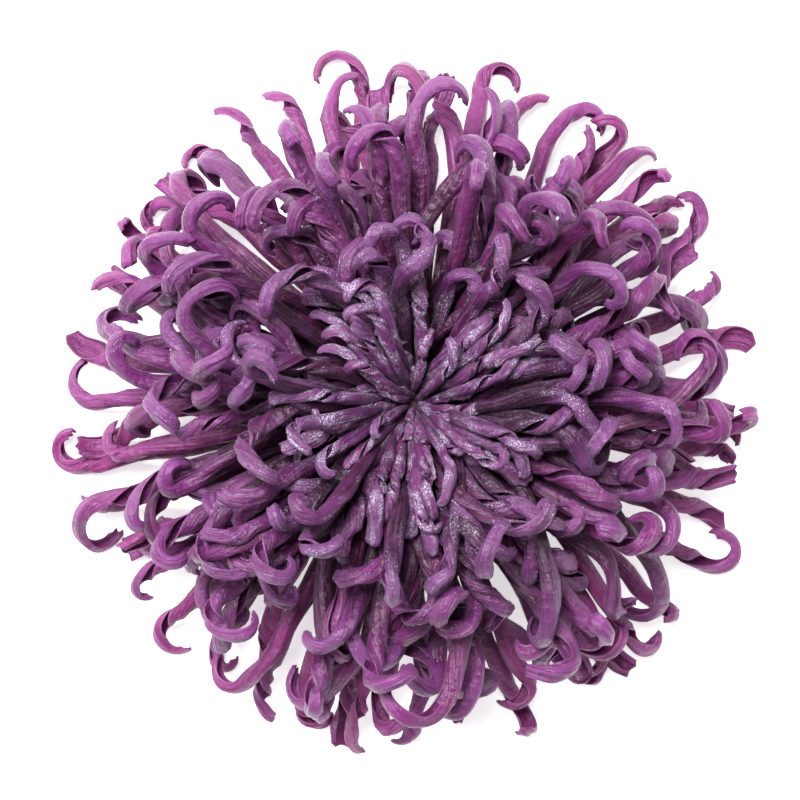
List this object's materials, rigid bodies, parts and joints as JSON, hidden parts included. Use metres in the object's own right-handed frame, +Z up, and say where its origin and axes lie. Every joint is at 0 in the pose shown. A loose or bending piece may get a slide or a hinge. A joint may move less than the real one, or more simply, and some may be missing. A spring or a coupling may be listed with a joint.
{
  "type": "preserved chrysanthemum flower",
  "caption": "Single preserved spider chrysanthemum bloom: curled purple quill petals in rings round a tight heart, on a green cup of bracts and a short cut stem.",
  "frame": {"origin": "centre of the stem's flat cut end, on the surface that the bloom rests on", "axes": "+Z up out of the face of the bloom, along the stem; +Y towards the top edge of the bloom seen from above, +X to its right"},
  "size_m": [0.0974, 0.1016, 0.0436],
  "materials": {
    "stem": "satin, dull green, cut pale",
    "bract": "matte green",
    "receptacle": "matte",
    "rim": "satin",
    "outer": "satin",
    "middle": "satin",
    "inner": "satin",
    "heart": "satin with a silvery bloom"
  },
  "bodies": {
    "root": {"stem_stub": "stem", "involucre": "bract", "receptacle": "receptacle", "heart_petals": "heart", "rim_petal_01": "rim", "rim_petal_02": "rim", "rim_petal_03": "rim", "rim_petal_04": "rim", "rim_petal_05": "rim", "rim_petal_06": "rim", "rim_petal_07": "rim", "rim_petal_08": "rim", "rim_petal_09": "rim", "rim_petal_10": "rim", "rim_petal_11": "rim", "rim_petal_12": "rim", "rim_petal_13": "rim", "rim_petal_14": "rim", "rim_petal_15": "rim", "rim_petal_16": "rim", "rim_petal_17": "rim", "rim_petal_18": "rim", "outer_petal_01": "outer", "outer_petal_02": "outer", "outer_petal_03": "outer", "outer_petal_04": "outer", "outer_petal_05": "outer", "outer_petal_06": "outer", "outer_petal_07": "outer", "outer_petal_08": "outer", "outer_petal_09": "outer", "outer_petal_10": "outer", "outer_petal_11": "outer", "outer_petal_12": "outer", "outer_petal_13": "outer", "middle_petal_01": "middle", "middle_petal_02": "middle", "middle_petal_03": "middle", "middle_petal_04": "middle", "middle_petal_05": "middle", "middle_petal_06": "middle", "middle_petal_07": "middle", "middle_petal_08": "middle", "middle_petal_09": "middle", "middle_petal_10": "middle", "inner_petal_01": "inner", "inner_petal_02": "inner", "inner_petal_03": "inner", "inner_petal_04": "inner", "inner_petal_05": "inner", "inner_petal_06": "inner", "inner_petal_07": "inner"}
  },
  "joints": []
}
